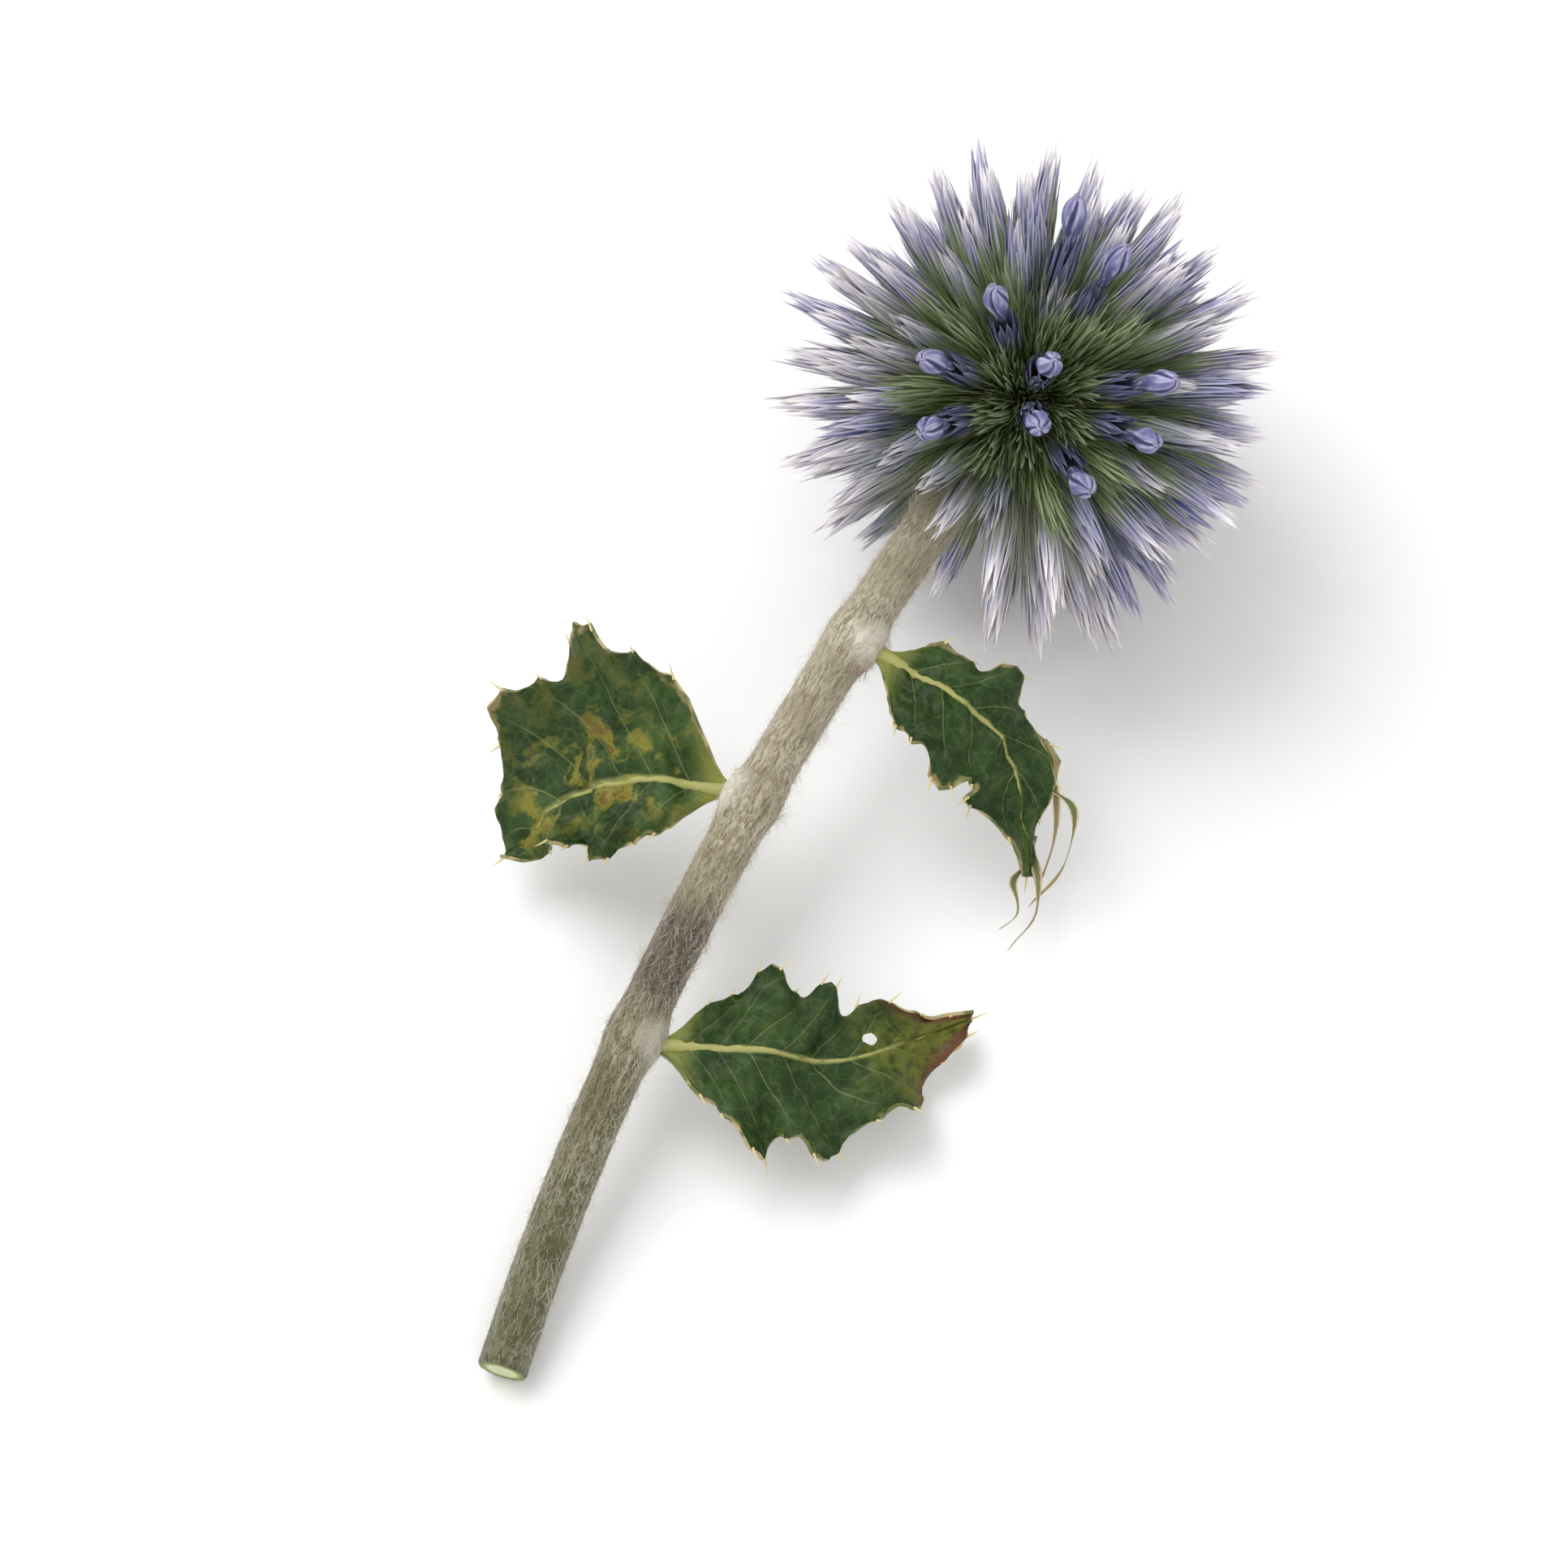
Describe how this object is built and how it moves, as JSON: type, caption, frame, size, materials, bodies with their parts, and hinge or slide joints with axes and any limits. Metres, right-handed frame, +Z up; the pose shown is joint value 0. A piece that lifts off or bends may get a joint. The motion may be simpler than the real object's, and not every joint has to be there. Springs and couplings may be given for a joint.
{
  "type": "globe thistle flower head",
  "caption": "Round, spiky blue-violet thistle flower head on a short cut woolly stem with spiny leaves, lying on its side.",
  "frame": {"origin": "on the table under the middle of the flower's bounding box", "axes": "+Z up from the table, +Y along the flower from the cut end of the stem to the head, +X to the right seen from above"},
  "size_m": [0.0552, 0.1284, 0.0467],
  "materials": {
    "floret": "dry narrow bracts, green at the base, blue-violet above, pale lilac tips",
    "bud": "soft matte petal, periwinkle blue",
    "stem": "white-woolly, beige with brown-violet blotches",
    "leaf": "dark green above with pale veins, grey-white wool below, straw-coloured spines"
  },
  "bodies": {
    "root": {"stem": "stem", "leaf_upper": "leaf", "leaf_middle": "leaf", "leaf_lower": "leaf", "bud_01": "bud", "bud_02": "bud", "bud_03": "bud", "bud_04": "bud", "bud_05": "bud", "bud_06": "bud", "bud_07": "bud", "bud_08": "bud", "bud_09": "bud", "bud_10": "bud", "floret_tuft_01": "floret", "floret_tuft_02": "floret", "floret_tuft_03": "floret", "floret_tuft_04": "floret", "floret_tuft_05": "floret", "floret_tuft_06": "floret", "floret_tuft_07": "floret", "floret_tuft_08": "floret", "floret_tuft_09": "floret", "floret_tuft_10": "floret", "floret_tuft_11": "floret", "floret_tuft_12": "floret", "floret_tuft_13": "floret", "floret_tuft_14": "floret", "floret_tuft_15": "floret", "floret_tuft_16": "floret", "floret_tuft_17": "floret", "floret_tuft_18": "floret", "floret_tuft_19": "floret", "floret_tuft_20": "floret", "floret_tuft_21": "floret", "floret_tuft_22": "floret", "floret_tuft_23": "floret", "floret_tuft_24": "floret", "floret_tuft_25": "floret", "floret_tuft_26": "floret", "floret_tuft_27": "floret", "floret_tuft_28": "floret", "floret_tuft_29": "floret", "floret_tuft_30": "floret", "floret_tuft_31": "floret", "floret_tuft_32": "floret", "floret_tuft_33": "floret", "floret_tuft_34": "floret", "floret_tuft_35": "floret", "floret_tuft_36": "floret", "floret_tuft_37": "floret", "floret_tuft_38": "floret", "floret_tuft_39": "floret", "floret_tuft_40": "floret", "floret_tuft_41": "floret", "floret_tuft_42": "floret", "floret_tuft_43": "floret", "floret_tuft_44": "floret", "floret_tuft_45": "floret"}
  },
  "joints": []
}
